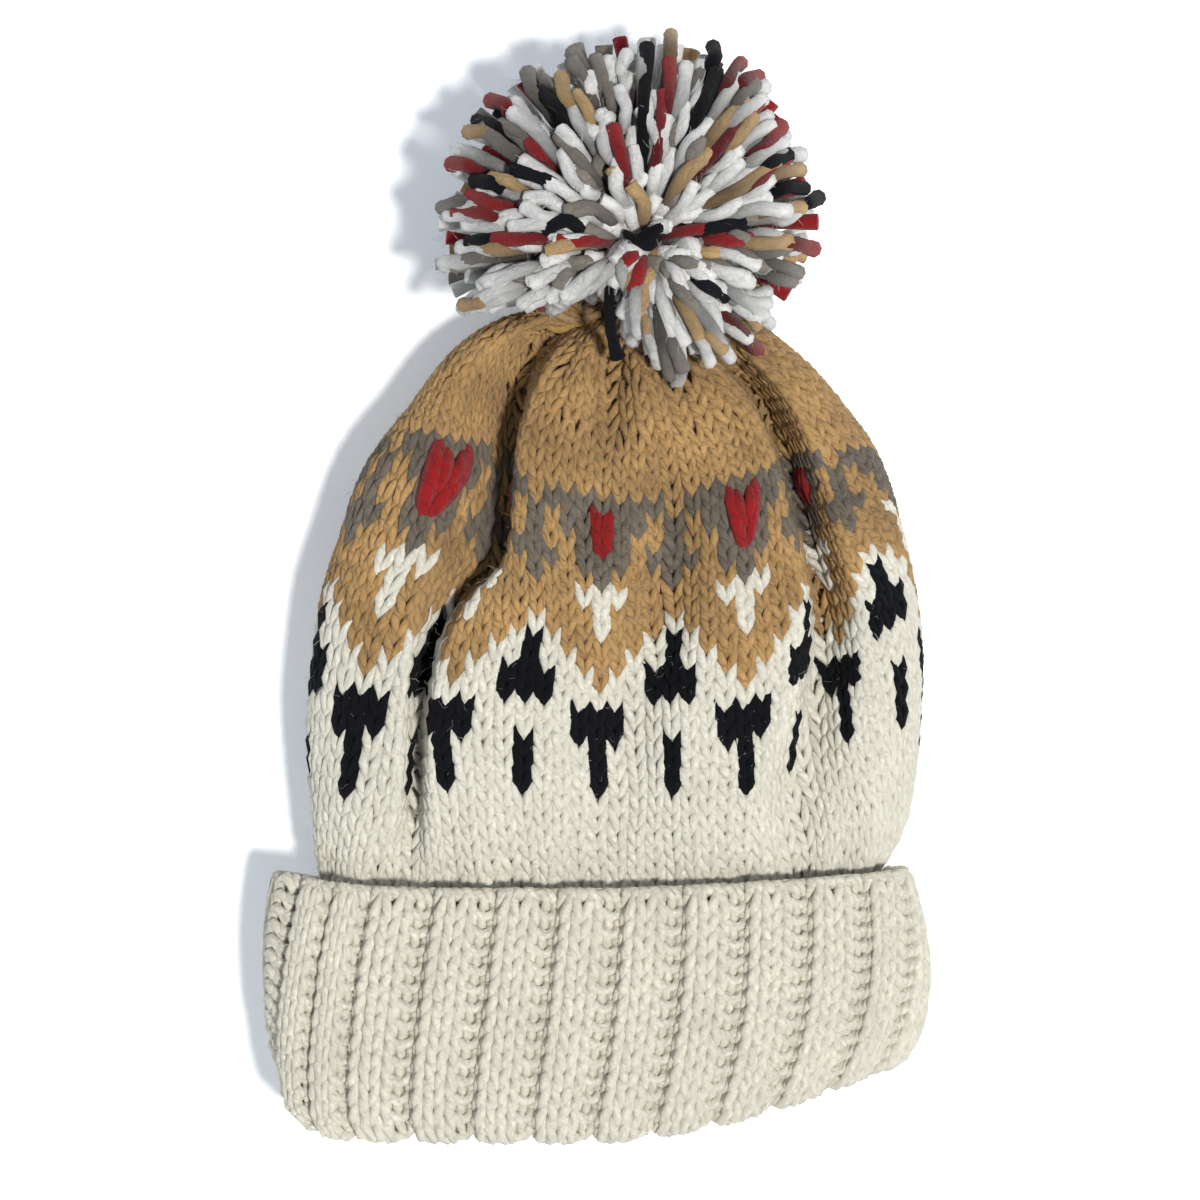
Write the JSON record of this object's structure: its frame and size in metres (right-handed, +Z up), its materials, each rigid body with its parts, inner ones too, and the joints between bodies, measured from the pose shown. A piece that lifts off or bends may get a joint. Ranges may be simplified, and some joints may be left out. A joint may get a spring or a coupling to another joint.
{
  "type": "knit toque",
  "caption": "Chunky knit toque lying flat: a hollow patterned crown drawn in at the top, a ribbed turned-up cuff and a cut-yarn pompom.",
  "frame": {"origin": "on the surface that the toque lies on, under the middle of its bounding box", "axes": "+X to the right as seen from above, +Y from the turned-up cuff to the pompom, +Z up off the surface"},
  "size_m": [0.2042, 0.3396, 0.0874],
  "materials": {
    "tan_yarn": "soft plied yarn, camel tan",
    "cream_yarn": "soft plied yarn, cream",
    "white_yarn": "soft brushed yarn, white",
    "grey_yarn": "soft plied yarn, grey-brown",
    "red_yarn": "soft plied yarn, red",
    "black_yarn": "soft plied yarn, near black"
  },
  "bodies": {
    "root": {"crown": "tan_yarn", "cuff": "cream_yarn", "gather_yarn": "grey_yarn", "pompom": "white_yarn", "pompom_tie": "black_yarn"}
  },
  "joints": []
}
